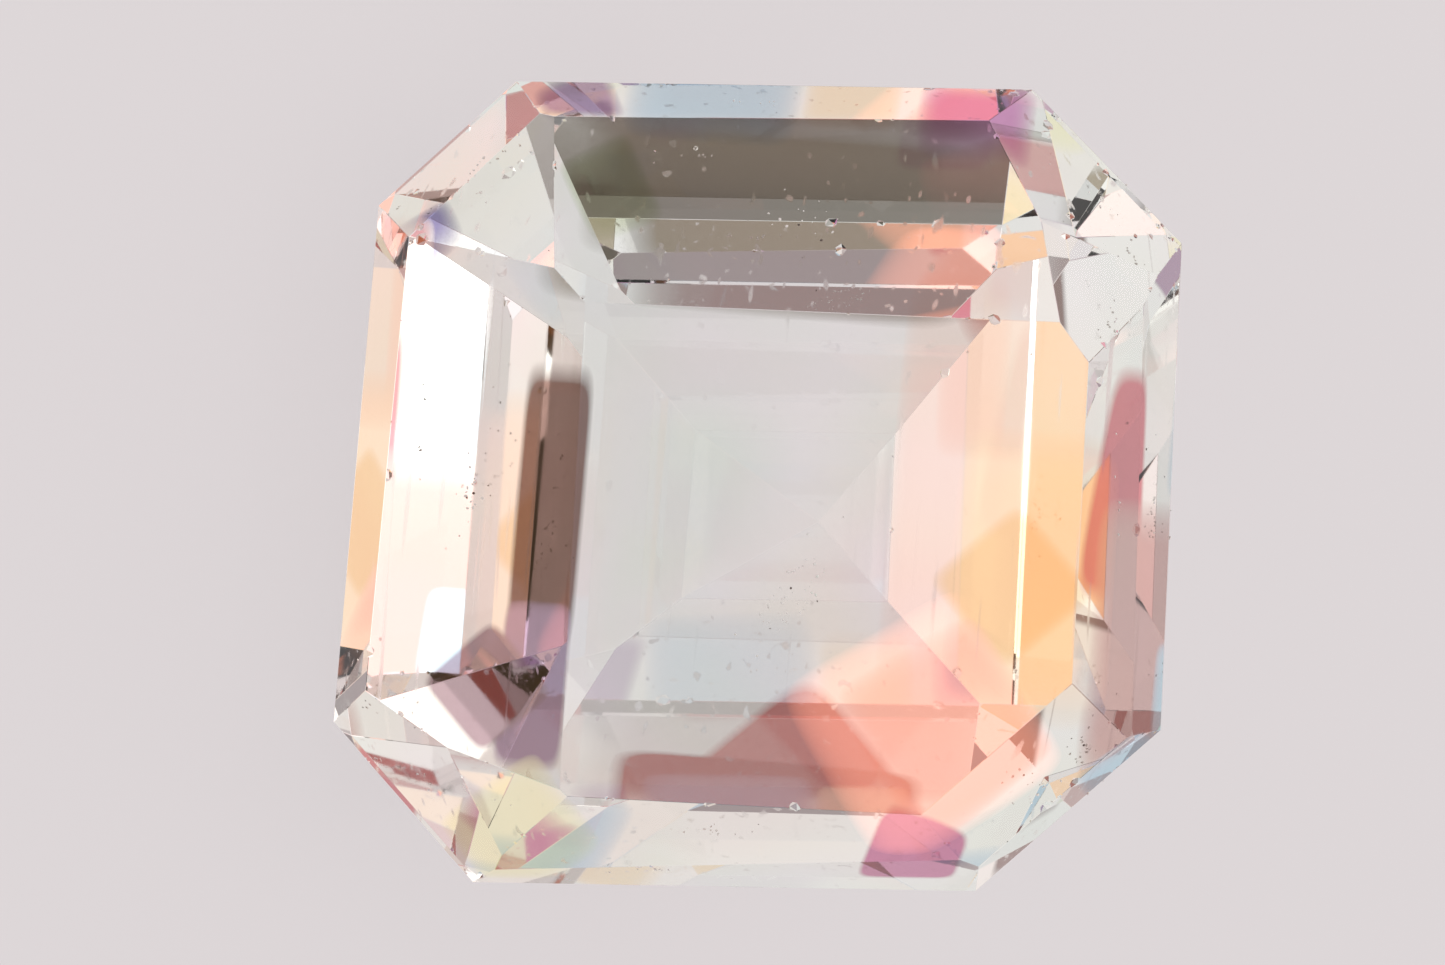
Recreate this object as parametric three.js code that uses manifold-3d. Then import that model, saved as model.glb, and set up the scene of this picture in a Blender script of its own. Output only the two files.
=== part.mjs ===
// A square step-cut gemstone with clipped corners, lying on one of its pavilion facets.
//
// Lengths are in millimetres and angles in degrees. The stone is cut upright, in the cutter's frame:
// the table is at the top, z = 0 is the upper edge of the girdle, and the z axis runs through the
// culet, which lies off the middle of the stone. It is then laid on the facet that it rests on.
import * as THREE from "three";
import { mergeVertices } from "three/addons/utils/BufferGeometryUtils.js";
import Module from "manifold-3d";

// The rows of a step cut end at the same levels all round the stone.
const level = {
  table: 1.4,
  crownStep: 0.65,
  girdleTop: 0,
  girdleFoot: -0.25,
  pavilionStep: -1.05,
  keel: -3.1,
  culet: -3.6,
};
const upperPavilionWidth = 0.45;
const cornerKeel = 1.8; // a corner's facets end in a point before they get this near to the axis

// Each side's turn is the direction that it faces, seen from above the table, and its other values
// are the distances from the axis at which its rows end. The upper crown may have its own turn.
const chart = {
  top: { turn: 90, girdle: 4.35, crownStep: 4, table: 2.05, tableTurn: 88.5, keel: 0.9 },
  right: { turn: -1.5, girdle: 3.6, crownStep: 3.3, table: 2.75, tableTurn: -2, keel: 0.75 },
  bottom: { turn: -90, girdle: 3.7, crownStep: 3.45, table: 2.9, tableTurn: -92, keel: 0.8 },
  left: { turn: 176, girdle: 4.6, crownStep: 4.25, table: 2.3, tableTurn: 178, keel: 1.3 },
  topRight: { turn: 45, girdle: 4.6, crownStep: 4.05, table: 3.2, tableTurn: 37 },
  bottomRight: { turn: -48, girdle: 3.9, crownStep: 3.75, table: 3 },
  bottomLeft: { turn: -138, girdle: 4.95, crownStep: 4.45, table: 3.65, tableTurn: -132 },
  topLeft: { turn: 133, girdle: 5.25, crownStep: 4.8, table: 3.25, tableTurn: 130 },
};
const restingSide = chart.left;

const roughSize = 16; // of the block that the stone is cut from
const colour = 0xece6e4;
const polish = 0.02;

const up = new THREE.Vector3(0, 0, 1);
const down = new THREE.Vector3(0, 0, -1);

const wasm = await Module();
wasm.setup();

function solidOf(geometry) {
  geometry.deleteAttribute("normal");
  geometry.deleteAttribute("uv");
  const merged = mergeVertices(geometry);
  const vertProperties = new Float32Array(merged.attributes.position.array);
  const triVerts = new Uint32Array(merged.index.array);
  return new wasm.Manifold(new wasm.Mesh({ numProp: 3, vertProperties, triVerts }));
}

function geometryOf(solid) {
  const mesh = solid.getMesh();
  const geometry = new THREE.BufferGeometry();
  geometry.setAttribute("position", new THREE.BufferAttribute(mesh.vertProperties, mesh.numProp));
  geometry.setIndex(new THREE.BufferAttribute(mesh.triVerts, 1));
  return geometry;
}

// The point at a distance from the axis, in the direction of a turn.
function pointAt(turn, reach, z) {
  const angle = THREE.MathUtils.degToRad(turn);
  return new THREE.Vector3(reach * Math.cos(angle), reach * Math.sin(angle), z);
}

// A facet is the direction that it faces and a point of its plane. It is level along its turn, and
// runs from one distance and height to another.
function facetBetween(turn, [reachA, heightA], [reachB, heightB]) {
  const rise = heightB - heightA;
  const run = reachB - reachA;
  const outward = Math.sign(rise);
  const normal = pointAt(turn, rise * outward, -run * outward).normalize();
  return { normal, point: pointAt(turn, reachA, heightA) };
}

// The two rows of the crown and the girdle's own facet.
function crownFacets({ turn, girdle, crownStep, table, tableTurn = turn }) {
  const girdleEdge = [girdle, level.girdleTop];
  const stepEdge = [crownStep, level.crownStep];
  return [
    facetBetween(turn, [girdle, level.girdleFoot], girdleEdge),
    facetBetween(turn, girdleEdge, stepEdge),
    facetBetween(tableTurn, stepEdge, [table, level.table]),
  ];
}

// The widest row of the pavilion, between the steep upper row and the keel.
function mainFacet({ turn, girdle, keel = cornerKeel }) {
  return facetBetween(turn, [girdle - upperPavilionWidth, level.pavilionStep], [keel, level.keel]);
}

function pavilionFacets(side) {
  const { turn, girdle, keel } = side;
  const stepEdge = [girdle - upperPavilionWidth, level.pavilionStep];
  const facets = [facetBetween(turn, [girdle, level.girdleFoot], stepEdge), mainFacet(side)];
  if (keel) facets.push(facetBetween(turn, [keel, level.keel], [0, level.culet]));
  return facets;
}

// What a facet takes off the rough: a block with one face on the facet's plane.
function waste({ normal, point }) {
  const block = new THREE.BoxGeometry(2 * roughSize, 2 * roughSize, roughSize);
  block.translate(0, 0, roughSize / 2);
  block.applyQuaternion(new THREE.Quaternion().setFromUnitVectors(up, normal));
  const distance = point.dot(normal);
  block.translate(normal.x * distance, normal.y * distance, normal.z * distance);
  return solidOf(block);
}

function cutStone() {
  const table = { normal: up, point: new THREE.Vector3(0, 0, level.table) };
  const facets = [table];
  for (const side of Object.values(chart)) {
    facets.push(...crownFacets(side), ...pavilionFacets(side));
  }
  let stone = solidOf(new THREE.BoxGeometry(roughSize, roughSize, roughSize));
  for (const facet of facets) {
    stone = stone.subtract(waste(facet));
  }
  return geometryOf(stone);
}

// The stone lies on the main facet of its resting side, with the table to the front.
function layDown(stone) {
  const restingFacet = mainFacet(restingSide);
  const laid = new THREE.Quaternion().setFromUnitVectors(restingFacet.normal, down);
  const frontTurn = THREE.MathUtils.degToRad(-90 - restingSide.turn);
  const turned = new THREE.Quaternion().setFromAxisAngle(up, frontTurn);
  stone.quaternion.multiplyQuaternions(turned, laid);
  const box = new THREE.Box3().setFromObject(stone, true);
  const middle = box.getCenter(new THREE.Vector3());
  stone.position.set(-middle.x, -middle.y, -box.min.z);
}

const material = new THREE.MeshStandardMaterial({ color: colour, roughness: polish, metalness: 0 });
const moonstone = new THREE.Mesh(cutStone(), material);
moonstone.name = "moonstone";
layDown(moonstone);

const part = new THREE.Group();
part.add(moonstone);
export default part;
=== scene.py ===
import math
import random
import bpy
from mathutils import Matrix, Quaternion, Vector


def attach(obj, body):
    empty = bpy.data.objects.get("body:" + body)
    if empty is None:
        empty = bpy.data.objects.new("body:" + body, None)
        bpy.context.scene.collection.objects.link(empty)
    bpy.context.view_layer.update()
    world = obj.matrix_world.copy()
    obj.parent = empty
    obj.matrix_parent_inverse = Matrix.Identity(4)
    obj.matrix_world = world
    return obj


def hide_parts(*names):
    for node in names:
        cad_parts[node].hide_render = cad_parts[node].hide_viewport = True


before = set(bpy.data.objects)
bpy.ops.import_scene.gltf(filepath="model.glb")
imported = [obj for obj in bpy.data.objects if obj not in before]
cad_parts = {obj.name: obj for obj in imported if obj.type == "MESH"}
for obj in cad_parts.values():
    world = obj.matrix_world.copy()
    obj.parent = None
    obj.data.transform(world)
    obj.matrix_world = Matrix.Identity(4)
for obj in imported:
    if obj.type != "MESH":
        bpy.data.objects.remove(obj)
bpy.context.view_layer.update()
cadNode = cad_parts["moonstone"]
scene = bpy.context.scene
mm = 0.001  # a millimetre in metres


def selectOnly(obj):
    bpy.ops.object.select_all(action="DESELECT")
    obj.select_set(True)
    bpy.context.view_layer.objects.active = obj


def joinAll(objects):
    selectOnly(objects[0])
    for obj in objects:
        obj.select_set(True)
    bpy.ops.object.join()
    bpy.ops.object.transform_apply(location=True, rotation=True, scale=True)
    return bpy.context.object


def applyModifier(obj, name):
    selectOnly(obj)
    bpy.ops.object.modifier_apply(modifier=name)


def resizeMesh(obj, times):
    selectOnly(obj)
    bpy.ops.object.mode_set(mode="EDIT")
    bpy.ops.mesh.select_all(action="SELECT")
    bpy.ops.transform.resize(value=(times, times, times), center_override=(0, 0, 0))
    bpy.ops.object.mode_set(mode="OBJECT")


def turned(azimuth, height):
    # azimuth 0 is the front, -Y, and 90 is +X
    a = math.radians(azimuth)
    e = math.radians(height)
    return Vector((math.sin(a) * math.cos(e), -math.cos(a) * math.cos(e), math.sin(e)))


def newMaterial(name):
    mat = bpy.data.materials.new(name)
    mat.use_nodes = True
    tree = mat.node_tree
    shader = next(n for n in tree.nodes if n.type == "BSDF_PRINCIPLED")
    return mat, tree, shader


def newGroup(name, inputs, output, outputKind):
    # a node group with its sockets, and the two nodes that stand for them inside it
    group = bpy.data.node_groups.new(name, "ShaderNodeTree")
    for socket, kind in inputs.items():
        group.interface.new_socket(socket, in_out="INPUT", socket_type="NodeSocket" + kind)
    group.interface.new_socket(output, in_out="OUTPUT", socket_type="NodeSocket" + outputKind)
    return group, group.nodes.new("NodeGroupInput"), group.nodes.new("NodeGroupOutput")


def addMath(tree, kind, operation):
    node = tree.nodes.new("ShaderNode" + kind)
    node.operation = operation
    return node


def addGroup(tree, group, values, label=""):
    node = tree.nodes.new("ShaderNodeGroup")
    node.node_tree = group
    node.label = label
    for name, value in values.items():
        node.inputs[name].default_value = value
    return node


# the shot, with lengths in millimetres and angles in degrees
shot = {
    "azimuth": 1.2, "height": 57.0, "roll": 94.0, "target": (0, -0.84, 3.36),
    "distance": 200, "frameWidth": 14.45, "sensor": 36, "nearest": 10, "furthest": 5000,
}
back = turned(shot["azimuth"], shot["height"])
level = (-back).to_track_quat("-Z", "Y")
camData = bpy.data.cameras.new("camera")
cam = bpy.data.objects.new("camera", camData)
scene.collection.objects.link(cam)
cam.location = (Vector(shot["target"]) + back * shot["distance"]) * mm
cam.rotation_mode = "QUATERNION"
cam.rotation_quaternion = Quaternion(back, math.radians(shot["roll"])) @ level
camData.sensor_width = shot["sensor"]
camData.lens = shot["sensor"] * shot["distance"] / shot["frameWidth"]
camData.clip_start = shot["nearest"] * mm
camData.clip_end = shot["furthest"] * mm
scene.camera = cam

# the stone, from the part's own facets and worked on in millimetres; angles in degrees
stone = {"mergeWithin": 0.001, "flatWithin": 0.2, "edgeWidth": 0.016, "edgeOver": 3, "ior": 1.53}
stoneMesh = cadNode.data.copy()
stoneObj = bpy.data.objects.new("moonstoneCut", stoneMesh)
scene.collection.objects.link(stoneObj)
resizeMesh(stoneObj, 1 / mm)
bpy.ops.object.mode_set(mode="EDIT")
bpy.ops.mesh.select_all(action="SELECT")
bpy.ops.mesh.remove_doubles(threshold=stone["mergeWithin"])
bpy.ops.mesh.dissolve_limited(angle_limit=math.radians(stone["flatWithin"]))
bpy.ops.mesh.normals_make_consistent(inside=False)
bpy.ops.object.mode_set(mode="OBJECT")
table = max(stoneMesh.polygons, key=lambda poly: poly.area)
tableMiddle = table.center.copy()
tableNormal = table.normal.copy()
print("facets", len(stoneMesh.polygons), "table", round(table.area, 1))

bevel = stoneObj.modifiers.new("facetEdges", "BEVEL")
bevel.width = stone["edgeWidth"]
bevel.segments = 1
bevel.limit_method = "ANGLE"
bevel.angle_limit = math.radians(stone["edgeOver"])
applyModifier(stoneObj, "facetEdges")

# nicks along the facet edges: small chips struck off with a joined set of cutters, in millimetres
nicks = {
    "count": 170, "least": 0.015, "most": 0.07, "longEdge": 0.3, "aboveFloor": 1.0,
    "along": (0.06, 0.94), "outwards": (0.3, 0.7), "stretch": (0.5, 1.8), "seed": 11,
}
fullTurn = 6.28  # radians
draw = random.Random(nicks["seed"])


def edgeEnds(mesh):
    # the two ends of each long edge, and the way that it points out of the stone
    facing = {}
    for poly in mesh.polygons:
        for key in poly.edge_keys:
            facing.setdefault(key, []).append(poly.normal.copy())
    found = []
    for (a, b), normals in facing.items():
        start = mesh.vertices[a].co.copy()
        end = mesh.vertices[b].co.copy()
        if (start - end).length > nicks["longEdge"] and (start.z + end.z) / 2 > nicks["aboveFloor"]:
            found.append((start, end, sum(normals, Vector()).normalized()))
    return sorted(found, key=lambda edge: tuple(edge[0]) + tuple(edge[1]))


def addCutter(place, size):
    bpy.ops.mesh.primitive_ico_sphere_add(subdivisions=1, radius=size, location=place)
    cutter = bpy.context.object
    cutter.scale = [draw.uniform(*nicks["stretch"]) for _ in range(3)]
    cutter.rotation_euler = [draw.uniform(0, fullTurn) for _ in range(3)]
    return cutter


longEdges = edgeEnds(stoneMesh)
print("edges", len(longEdges))
cutters = []
for _ in range(nicks["count"]):
    start, end, outward = draw.choice(longEdges)
    size = nicks["least"] + (nicks["most"] - nicks["least"]) * draw.random() ** 2
    onEdge = start.lerp(end, draw.uniform(*nicks["along"]))
    cutters.append(addCutter(onEdge + outward * size * draw.uniform(*nicks["outwards"]), size))
cutterObj = joinAll(cutters)
chip = stoneObj.modifiers.new("nicks", "BOOLEAN")
chip.operation = "DIFFERENCE"
chip.solver = "EXACT"
chip.use_self = True
chip.object = cutterObj
applyModifier(stoneObj, "nicks")
bpy.data.objects.remove(cutterObj)
print("nicked", len(stoneMesh.polygons))

resizeMesh(stoneObj, mm)
bpy.ops.object.shade_flat()

# painted reflections and shade laid into the stone's colour: a squarish block of one colour with blurred
# sides
# Share and Shift bring a place in the table's frame to 1 at the block's sides, and adding up the eighth
# powers, not the squares, keeps the block from being a ball; Core is where the blur starts
zonePower = 8
zoneInputs = {
    "Behind": "Color", "Colour": "Color", "Place": "Vector",
    "Share": "Vector", "Shift": "Vector", "Core": "Float",
}
paintedLightZoneGroup, gIn, gOut = newGroup("paintedLightZone", zoneInputs, "Colour", "Color")
inBlock = addMath(paintedLightZoneGroup, "VectorMath", "MULTIPLY_ADD")
square = addMath(paintedLightZoneGroup, "VectorMath", "MULTIPLY")
fourth = addMath(paintedLightZoneGroup, "VectorMath", "MULTIPLY")
eighth = addMath(paintedLightZoneGroup, "VectorMath", "DOT_PRODUCT")
fade = paintedLightZoneGroup.nodes.new("ShaderNodeMapRange")
fade.inputs["From Max"].default_value = 1
fade.inputs["To Min"].default_value = 1
fade.inputs["To Max"].default_value = 0
mix = paintedLightZoneGroup.nodes.new("ShaderNodeMix")
mix.data_type = "RGBA"
link = paintedLightZoneGroup.links.new
link(gIn.outputs["Place"], inBlock.inputs[0])
link(gIn.outputs["Share"], inBlock.inputs[1])
link(gIn.outputs["Shift"], inBlock.inputs[2])
for i in range(2):
    link(inBlock.outputs["Vector"], square.inputs[i])
    link(square.outputs["Vector"], fourth.inputs[i])
    link(fourth.outputs["Vector"], eighth.inputs[i])
link(eighth.outputs["Value"], fade.inputs["Value"])
link(gIn.outputs["Core"], fade.inputs["From Min"])
link(fade.outputs["Result"], mix.inputs["Factor"])
link(gIn.outputs["Behind"], mix.inputs["A"])
link(gIn.outputs["Colour"], mix.inputs["B"])
link(mix.outputs["Result"], gOut.inputs["Colour"])

# painted sheen: the sheen comes from thin layers in the stone, and its colours are painted through it in
# faint pastel bands
sheenInputs = {"Scale": "Float", "Waver": "Float", "Strength": "Float"}
sheenGroup, gIn, gOut = newGroup("pastelSheen", sheenInputs, "Colour", "Color")
pastels = [
    (0.25, (0.72, 0.86, 1.0)), (0.37, (0.8, 1.0, 0.86)), (0.45, (1.0, 1.0, 1.0)),
    (0.55, (1.0, 0.95, 0.8)), (0.63, (1.0, 0.78, 0.66)), (0.75, (0.94, 0.7, 0.92)),
]
coord = sheenGroup.nodes.new("ShaderNodeTexCoord")
layers = sheenGroup.nodes.new("ShaderNodeTexNoise")
layers.inputs["Detail"].default_value = 1
ramp = sheenGroup.nodes.new("ShaderNodeValToRGB")
while len(ramp.color_ramp.elements) < len(pastels):
    ramp.color_ramp.elements.new(0.5)
for stop, (share, colour) in zip(ramp.color_ramp.elements, pastels):
    stop.position = share
    stop.color = (*colour, 1)
plain = sheenGroup.nodes.new("ShaderNodeMix")
plain.data_type = "RGBA"
plain.inputs["A"].default_value = (1, 1, 1, 1)
link = sheenGroup.links.new
link(coord.outputs["Object"], layers.inputs["Vector"])
link(gIn.outputs["Scale"], layers.inputs["Scale"])
link(gIn.outputs["Waver"], layers.inputs["Distortion"])
link(layers.outputs["Fac"], ramp.inputs["Fac"])
link(gIn.outputs["Strength"], plain.inputs["Factor"])
link(ramp.outputs["Color"], plain.inputs["B"])
link(plain.outputs["Result"], gOut.inputs["Colour"])

# smears left by fingers, as a faint loss of polish
smearClouds = {"starts": 0.4, "full": 0.75}
smearInputs = {"Scale": "Float", "Least": "Float", "Most": "Float"}
smearGroup, gIn, gOut = newGroup("smears", smearInputs, "Roughness", "Float")
coord = smearGroup.nodes.new("ShaderNodeTexCoord")
cloud = smearGroup.nodes.new("ShaderNodeTexNoise")
cloud.inputs["Detail"].default_value = 1
spread = smearGroup.nodes.new("ShaderNodeMapRange")
spread.inputs["From Min"].default_value = smearClouds["starts"]
spread.inputs["From Max"].default_value = smearClouds["full"]
link = smearGroup.links.new
link(coord.outputs["Object"], cloud.inputs["Vector"])
link(gIn.outputs["Scale"], cloud.inputs["Scale"])
link(cloud.outputs["Fac"], spread.inputs["Value"])
link(gIn.outputs["Least"], spread.inputs["To Min"])
link(gIn.outputs["Most"], spread.inputs["To Max"])
link(spread.outputs["Result"], gOut.inputs["Roughness"])

# fine scratches: a noise drawn out along one way, of which only the crests are kept
scratch = {"narrower": 26, "full": 0.85}
scratchInputs = {"Turn": "Vector", "Scale": "Float", "Crest": "Float"}
scratchGroup, gIn, gOut = newGroup("scratches", scratchInputs, "Height", "Float")
coord = scratchGroup.nodes.new("ShaderNodeTexCoord")
drawn = scratchGroup.nodes.new("ShaderNodeMapping")
drawn.inputs["Scale"].default_value = (1, scratch["narrower"], scratch["narrower"])
streak = scratchGroup.nodes.new("ShaderNodeTexNoise")
streak.inputs["Detail"].default_value = 0
crest = scratchGroup.nodes.new("ShaderNodeMapRange")
crest.inputs["From Max"].default_value = scratch["full"]
link = scratchGroup.links.new
link(coord.outputs["Object"], drawn.inputs["Vector"])
link(gIn.outputs["Turn"], drawn.inputs["Rotation"])
link(drawn.outputs["Vector"], streak.inputs["Vector"])
link(gIn.outputs["Scale"], streak.inputs["Scale"])
link(streak.outputs["Fac"], crest.inputs["Value"])
link(gIn.outputs["Crest"], crest.inputs["From Min"])
link(crest.outputs["Result"], gOut.inputs["Height"])


def addPaintedLightZones(tree, place, paintedLightZones, first=None):
    # one zone over the other, the first over the given colour or over black
    last = first
    for zone in paintedLightZones:
        centre = Vector((zone["place"][0], zone["place"][1], -zone["place"][2]))
        zonePlace = place
        if "turn" in zone:
            twist = tree.nodes.new("ShaderNodeVectorRotate")
            twist.rotation_type = "Z_AXIS"
            twist.inputs["Center"].default_value = centre
            twist.inputs["Angle"].default_value = -math.radians(zone["turn"])
            tree.links.new(place, twist.inputs["Vector"])
            zonePlace = twist.outputs["Vector"]
        share = Vector([1 / size for size in zone["half"]])
        values = {
            "Behind": (0, 0, 0, 1), "Colour": (*zone["colour"], 1), "Core": zone["core"] ** zonePower,
            "Share": share, "Shift": [-c * k for c, k in zip(centre, share)],
        }
        node = addGroup(tree, paintedLightZoneGroup, values, zone["name"])
        tree.links.new(zonePlace, node.inputs["Place"])
        if last:
            tree.links.new(last, node.inputs["Behind"])
        last = node.outputs["Colour"]
    return last


# painted light: the pale blocks are painted reflections and sheen, the darker ones, such as claret,
# olive, umber and plum, are painted shade
# where the colours lie, in millimetres from the middle of the table: up its slope, along it and below it,
# with half sizes the same way and the turn about the table's normal in degrees
paintedLightZones = [
    {"name": "peachSide", "place": (1.0, 0.6, 0), "half": (0.55, 2.6, 0.5),
     "core": 0.6, "colour": (1.0, 0.8, 0.7)},
    {"name": "amberSide", "place": (1.95, 0.2, 0), "half": (0.8, 1.5, 0.5),
     "core": 0.6, "colour": (1.0, 0.84, 0.62)},
    {"name": "ochreSide", "place": (1.75, 0.1, 0), "half": (0.62, 0.62, 0.4),
     "core": 0.8, "turn": 45, "colour": (0.86, 0.56, 0.26)},
    {"name": "coral", "place": (1.25, -1.4, 0), "half": (0.85, 0.95, 0.4),
     "core": 0.7, "turn": 35, "colour": (1.0, 0.48, 0.38)},
    {"name": "claretPeak", "place": (-0.3, -2.65, 3.3), "half": (1.28, 1.28, 1.6),
     "core": 0.92, "turn": 45, "colour": (0.4, 0.05, 0.045)},
    {"name": "claretFoot", "place": (-0.6, -2.25, 3.0), "half": (1.6, 0.42, 1.0),
     "core": 0.9, "colour": (0.24, 0.012, 0.01)},
    {"name": "oliveDepth", "place": (-1.0, 3.45, 2.9), "half": (2.0, 0.85, 1.2),
     "core": 0.8, "colour": (0.14, 0.1, 0.055)},
    {"name": "roseDepth", "place": (1.5, 3.5, 2.9), "half": (0.9, 0.95, 1.2),
     "core": 0.6, "turn": 25, "colour": (0.5, 0.14, 0.09)},
    {"name": "umberFoot", "place": (-1.0, 4.6, 2.1), "half": (2.2, 0.8, 0.6),
     "core": 0.7, "colour": (0.16, 0.1, 0.09)},
    {"name": "umberColumn", "place": (-2.92, 0.5, 0.15), "half": (0.36, 1.45, 0.36),
     "core": 0.85, "colour": (0.07, 0.03, 0.024)},
    {"name": "lilacColumn", "place": (-2.94, -1.3, 0.15), "half": (0.36, 0.85, 0.36),
     "core": 0.85, "colour": (0.26, 0.15, 0.26)},
    {"name": "mauveSide", "place": (-3.4, -1.35, 0.35), "half": (0.5, 0.5, 0.5),
     "core": 0.88, "turn": 45, "colour": (0.2, 0.11, 0.14)},
    {"name": "roseHigh", "place": (2.9, 1.2, 0.4), "half": (0.45, 1.2, 0.45),
     "core": 0.85, "turn": -6, "colour": (0.5, 0.08, 0.1)},
    {"name": "roseLow", "place": (3.2, -0.4, 1.0), "half": (0.7, 1.5, 0.9),
     "core": 0.7, "colour": (0.5, 0.24, 0.22)},
    {"name": "blueRim", "place": (-1.7, 4.7, 1.2), "half": (0.9, 0.5, 0.6),
     "core": 0.5, "colour": (0.34, 0.54, 0.74)},
    {"name": "goldRim", "place": (-0.3, 4.7, 1.2), "half": (0.5, 0.5, 0.5),
     "core": 0.2, "colour": (1.0, 0.76, 0.46)},
    {"name": "magentaRim", "place": (0.95, 4.65, 1.1), "half": (0.6, 0.45, 0.5),
     "core": 0.6, "colour": (0.5, 0.1, 0.36)},
    {"name": "magentaFoot", "place": (0.95, -2.75, 0.5), "half": (0.46, 0.55, 0.6),
     "core": 0.9, "turn": -20, "colour": (0.44, 0.08, 0.2)},
    {"name": "blueEdge", "place": (3.5, 1.9, 1.5), "half": (0.35, 0.8, 0.5),
     "core": 0.6, "colour": (0.36, 0.62, 0.82)},
    {"name": "blueFoot", "place": (3.5, -0.8, 1.5), "half": (0.3, 0.5, 0.5),
     "core": 0.6, "colour": (0.36, 0.62, 0.82)},
    {"name": "blueCorner", "place": (3.1, -1.8, 1.0), "half": (0.45, 0.45, 0.6),
     "core": 0.7, "turn": 40, "colour": (0.26, 0.56, 0.82)},
    {"name": "sageCorner", "place": (-2.6, 3.7, 0.7), "half": (0.4, 0.5, 0.5),
     "core": 0.6, "turn": 30, "colour": (0.5, 0.6, 0.34)},
    {"name": "plumTop", "place": (-3.0, 4.5, 1.2), "half": (0.4, 0.4, 0.5),
     "core": 0.7, "turn": 30, "colour": (0.2, 0.1, 0.26)},
    {"name": "plumTip", "place": (-4.5, 3.0, 1.0), "half": (0.5, 0.28, 0.5),
     "core": 0.7, "turn": 35, "colour": (0.1, 0.08, 0.24)},
    {"name": "creamCorner", "place": (-3.0, -2.8, 0.6), "half": (0.7, 0.6, 0.7),
     "core": 0.6, "turn": 40, "colour": (1.0, 0.92, 0.5)},
    {"name": "peachRim", "place": (-4.7, 2.2, 1.2), "half": (0.4, 1.1, 0.7),
     "core": 0.4, "colour": (0.96, 0.74, 0.66)},
]
# painted glow: the stone gives off coral and amber light here, standing in for its sheen, though it is no
# lamp
paintedGlows = [
    {"name": "coralGlow", "place": (1.0, -1.4, 0.1), "half": (1.1, 1.1, 0.5),
     "core": 0.2, "turn": 35, "colour": (0.42, 0.13, 0.07)},
    {"name": "amberGlow", "place": (2.0, 0.2, 0.1), "half": (0.9, 1.3, 0.4),
     "core": 0.4, "colour": (0.07, 0.02, 0.0)},
]
finish = {
    "sheen": {"Scale": 260, "Waver": 0, "Strength": 0.45},
    "smears": {"Scale": 500, "Least": 0.0, "Most": 0.035},
    "scratches": {"Turn": (0.4, 0.2, 0.7), "Scale": 420, "Crest": 0.74},
    "scratchRoughness": 0.25,
}
stoneMat, tree, shader = newMaterial("clearMoonstone")
side = Vector((-1, 0, 0))
tableFrame = Matrix((side.cross(tableNormal), side, tableNormal))
coord = tree.nodes.new("ShaderNodeTexCoord")
onTable = tree.nodes.new("ShaderNodeMapping")
onTable.inputs["Scale"].default_value = (1 / mm, 1 / mm, 1 / mm)
onTable.inputs["Rotation"].default_value = tableFrame.to_euler()
onTable.inputs["Location"].default_value = -(tableFrame @ tableMiddle)
tree.links.new(coord.outputs["Object"], onTable.inputs["Vector"])
tablePlace = onTable.outputs["Vector"]
# the stone's colour carries the painted sheen, reflections and shade, and its emission the painted glows
sheenNode = addGroup(tree, sheenGroup, finish["sheen"])
paintedSheenReflectionsAndShade = addPaintedLightZones(tree, tablePlace, paintedLightZones, sheenNode.outputs["Colour"])
tree.links.new(paintedSheenReflectionsAndShade, shader.inputs["Base Color"])
tree.links.new(addPaintedLightZones(tree, tablePlace, paintedGlows), shader.inputs["Emission Color"])
shader.inputs["Emission Strength"].default_value = 1.0
smearNode = addGroup(tree, smearGroup, finish["smears"])
scratchNode = addGroup(tree, scratchGroup, finish["scratches"])
rougher = addMath(tree, "Math", "MULTIPLY_ADD")
rougher.inputs[1].default_value = finish["scratchRoughness"]
tree.links.new(scratchNode.outputs["Height"], rougher.inputs[0])
tree.links.new(smearNode.outputs["Roughness"], rougher.inputs[2])
tree.links.new(rougher.outputs[0], shader.inputs["Roughness"])
shader.inputs["IOR"].default_value = stone["ior"]
shader.inputs["Transmission Weight"].default_value = 1.0
stoneMat.cycles.emission_sampling = "NONE"
stoneObj.data.materials.clear()
stoneObj.data.materials.append(stoneMat)
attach(stoneObj, "root")
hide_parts("moonstone")
print("stone", len(stoneObj.data.polygons))

# dust on the upper facets and a few dark grains just under them, with lengths in millimetres
specks = {
    "dust": {"count": 170, "least": 0.007, "most": 0.022, "depth": -0.004, "seed": 5,
             "colour": (0.85, 0.83, 0.82)},
    "grains": {"count": 16, "least": 0.008, "most": 0.022, "depth": 0.25, "seed": 8,
               "colour": (0.16, 0.11, 0.1)},
}
# a speck starts as a rough ball of 1 mm radius, and lies on a face of more than the least area
speckShape = {"rough": 0.4, "width": (0.5, 1), "thickness": (0.3, 0.8), "upward": 0.1, "leastFace": 0.1}
speckSheen = {"Scale": 900, "Waver": 0.2, "Strength": 0.3}
speckRoughness = 0.8


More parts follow.
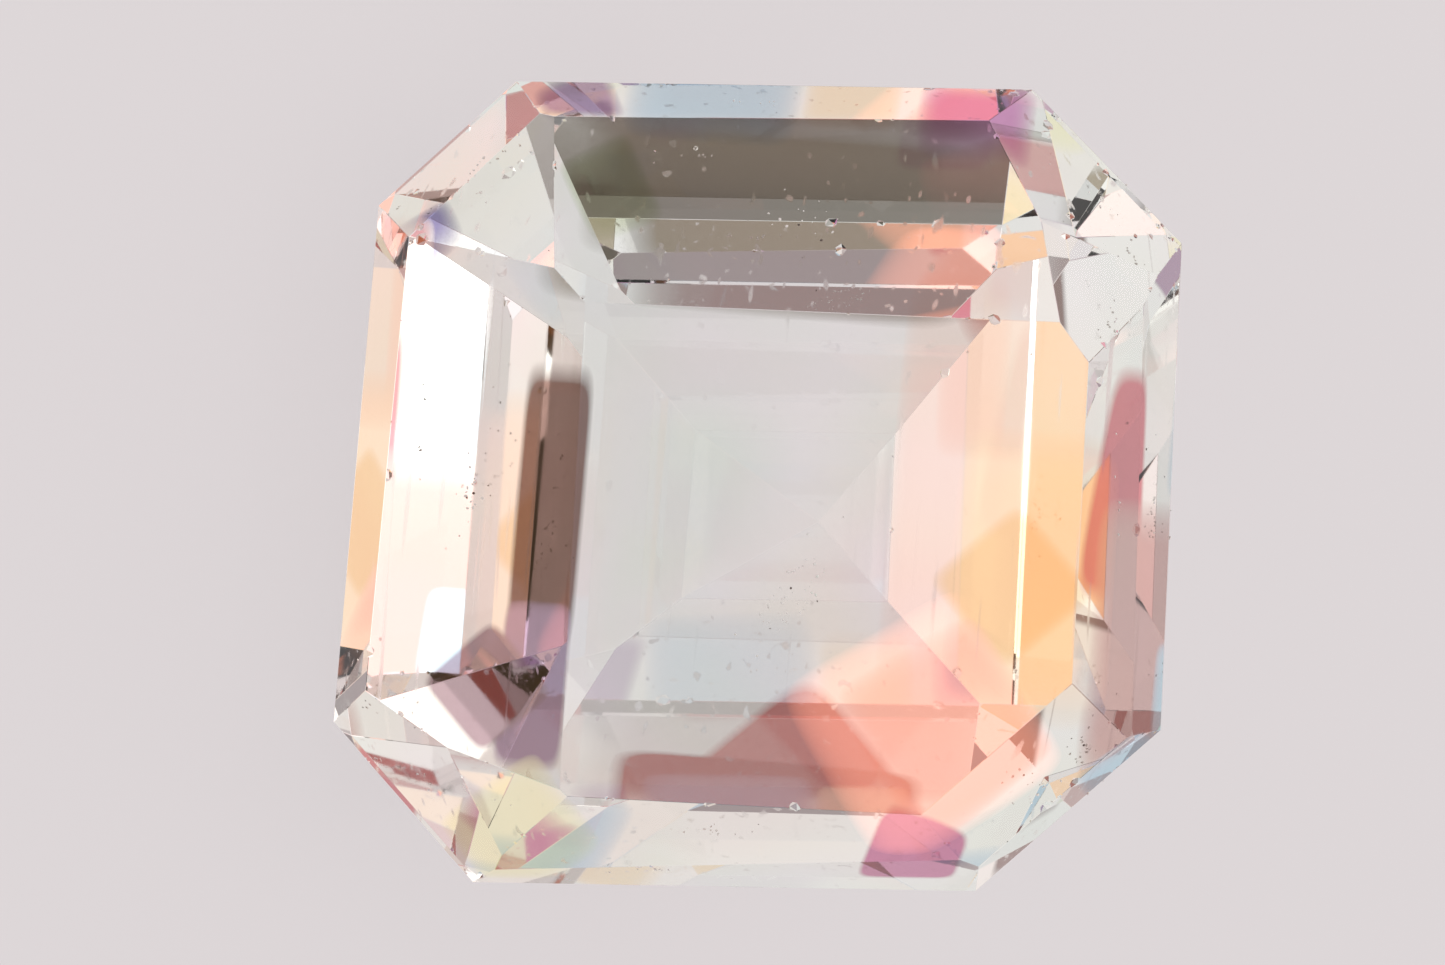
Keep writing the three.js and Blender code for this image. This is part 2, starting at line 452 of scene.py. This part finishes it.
def scatterSpecks(name, kind):
    pick = random.Random(kind["seed"])
    upper = [poly for poly in stoneMesh.polygons
             if poly.normal.z > speckShape["upward"] and poly.area > speckShape["leastFace"] * mm * mm]
    chosen = pick.choices(upper, weights=[poly.area for poly in upper], k=kind["count"])
    bpy.ops.object.select_all(action="DESELECT")
    bpy.ops.mesh.primitive_ico_sphere_add(subdivisions=1, radius=mm, location=(0, 0, 0))
    seedObj = bpy.context.object
    bpy.ops.object.mode_set(mode="EDIT")
    bpy.ops.transform.vertex_random(offset=speckShape["rough"] * mm, seed=kind["seed"])
    bpy.ops.object.mode_set(mode="OBJECT")
    grains = []
    for poly in chosen:
        corners = [stoneMesh.vertices[i].co for i in poly.vertices]
        shares = [pick.expovariate(1) for _ in corners]
        onFacet = sum((c * w for c, w in zip(corners, shares)), Vector()) / sum(shares)
        grain = seedObj.copy()
        grain.data = seedObj.data.copy()
        scene.collection.objects.link(grain)
        size = pick.uniform(kind["least"], kind["most"])
        grain.location = onFacet - poly.normal * kind["depth"] * mm
        grain.rotation_euler = [pick.uniform(0, fullTurn) for _ in range(3)]
        width = size * pick.uniform(*speckShape["width"])
        grain.scale = [size, width, size * pick.uniform(*speckShape["thickness"])]
        grains.append(grain)
    bpy.data.objects.remove(seedObj)
    joined = joinAll(grains)
    joined.name = name
    mat, tree, shader = newMaterial(name)
    shade = addGroup(tree, sheenGroup, speckSheen)
    toned = tree.nodes.new("ShaderNodeMix")
    toned.data_type = "RGBA"
    toned.blend_type = "MULTIPLY"
    toned.inputs["Factor"].default_value = 1
    toned.inputs["B"].default_value = (*kind["colour"], 1)
    tree.links.new(shade.outputs["Colour"], toned.inputs["A"])
    tree.links.new(toned.outputs["Result"], shader.inputs["Base Color"])
    shader.inputs["Roughness"].default_value = speckRoughness
    joined.data.materials.clear()
    joined.data.materials.append(mat)
    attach(joined, "root")
    print(name, len(joined.data.polygons))


for name, kind in specks.items():
    scatterSpecks(name, kind)

# floor, in metres
floor = {
    "radius": 0.6, "sides": 64, "drop": 0.00001,
    "colour": (0.12, 0.114, 0.116), "glow": (0.67, 0.63, 0.64), "glowStrength": 0.92,
}
bpy.ops.mesh.primitive_circle_add(vertices=floor["sides"], radius=floor["radius"], fill_type="NGON")
floorObj = bpy.context.object
floorObj.name = "floor"
floorObj.location.z = -floor["drop"]
floorMat, tree, shader = newMaterial("paleFloor")
shader.inputs["Base Color"].default_value = (*floor["colour"], 1)
shader.inputs["Roughness"].default_value = 1.0
shader.inputs["Specular IOR Level"].default_value = 0.0
shader.inputs["Emission Color"].default_value = (*floor["glow"], 1)
shader.inputs["Emission Strength"].default_value = floor["glowStrength"]
floorMat.cycles.emission_sampling = "NONE"
floorObj.data.materials.append(floorMat)

# soft surroundings: pale, dark and coloured cards, blurred into one another
patchInputs = {"Behind": "Color", "Colour": "Color", "Aim": "Vector", "Inner": "Float", "Outer": "Float"}
patchGroup, gIn, gOut = newGroup("softPatch", patchInputs, "Colour", "Color")
coord = patchGroup.nodes.new("ShaderNodeTexCoord")
dot = addMath(patchGroup, "VectorMath", "DOT_PRODUCT")
arc = addMath(patchGroup, "Math", "ARCCOSINE")
ramp = patchGroup.nodes.new("ShaderNodeMapRange")
ramp.interpolation_type = "SMOOTHSTEP"
ramp.inputs["To Min"].default_value = 1
ramp.inputs["To Max"].default_value = 0
mix = patchGroup.nodes.new("ShaderNodeMix")
mix.data_type = "RGBA"
link = patchGroup.links.new
link(coord.outputs["Generated"], dot.inputs[0])
link(gIn.outputs["Aim"], dot.inputs[1])
link(dot.outputs["Value"], arc.inputs[0])
link(arc.outputs[0], ramp.inputs["Value"])
link(gIn.outputs["Inner"], ramp.inputs["From Min"])
link(gIn.outputs["Outer"], ramp.inputs["From Max"])
link(ramp.outputs["Result"], mix.inputs["Factor"])
link(gIn.outputs["Behind"], mix.inputs["A"])
link(gIn.outputs["Colour"], mix.inputs["B"])
link(mix.outputs["Result"], gOut.inputs["Colour"])

# a pale room with windows behind and to the left, and plain cards; angles are in degrees
roomColour = (0.8, 0.77, 0.76, 1)
patches = [
    {"name": "windowBehind", "aim": (-177, 46), "inner": 10, "outer": 32, "colour": (2.1, 2.05, 2.0)},
    {"name": "windowLeft", "aim": (-132, 26), "inner": 8, "outer": 26, "colour": (1.5, 1.45, 1.4)},
    {"name": "darkDoor", "aim": (80, 0), "inner": 14, "outer": 34, "colour": (0.09, 0.066, 0.045)},
    {"name": "greyWall", "aim": (-37, 43), "inner": 6, "outer": 12, "colour": (0.3, 0.25, 0.26)},
    {"name": "clothLeft", "aim": (-48, 2), "inner": 10, "outer": 26, "colour": (0.34, 0.12, 0.1)},
    {"name": "paleFront", "aim": (0, 23), "inner": 8, "outer": 14, "colour": (1.0, 0.86, 0.84)},
    {"name": "tanTable", "aim": (4, 8), "inner": 6, "outer": 11, "colour": (0.95, 0.6, 0.34)},
    {"name": "amberLamp", "aim": (6, 62), "inner": 6, "outer": 13, "colour": (1.0, 0.86, 0.74)},
    {"name": "coolWall", "aim": (-5, 40), "inner": 4, "outer": 9, "colour": (0.62, 0.68, 0.72)},
    {"name": "roseCard", "aim": (17, 26), "inner": 4, "outer": 9, "colour": (0.72, 0.26, 0.34)},
]
world = bpy.data.worlds.new("studio")
scene.world = world
world.use_nodes = True
worldTree = world.node_tree
last = None
for card in patches:
    values = {
        "Behind": roomColour, "Aim": turned(*card["aim"]), "Colour": (*card["colour"], 1),
        "Inner": math.radians(card["inner"]), "Outer": math.radians(card["outer"]),
    }
    node = addGroup(worldTree, patchGroup, values, card["name"])
    if last:
        worldTree.links.new(last, node.inputs["Behind"])
    last = node.outputs["Colour"]
worldTree.links.new(last, worldTree.nodes["Background"].inputs["Color"])
print("room", len(patches))

scene.view_settings.view_transform = "Standard"
bounces = 9  # light crosses the stone several times before it leaves
scene.cycles.max_bounces = bounces
scene.cycles.transmission_bounces = bounces
scene.cycles.glossy_bounces = bounces
scene.cycles.diffuse_bounces = 1
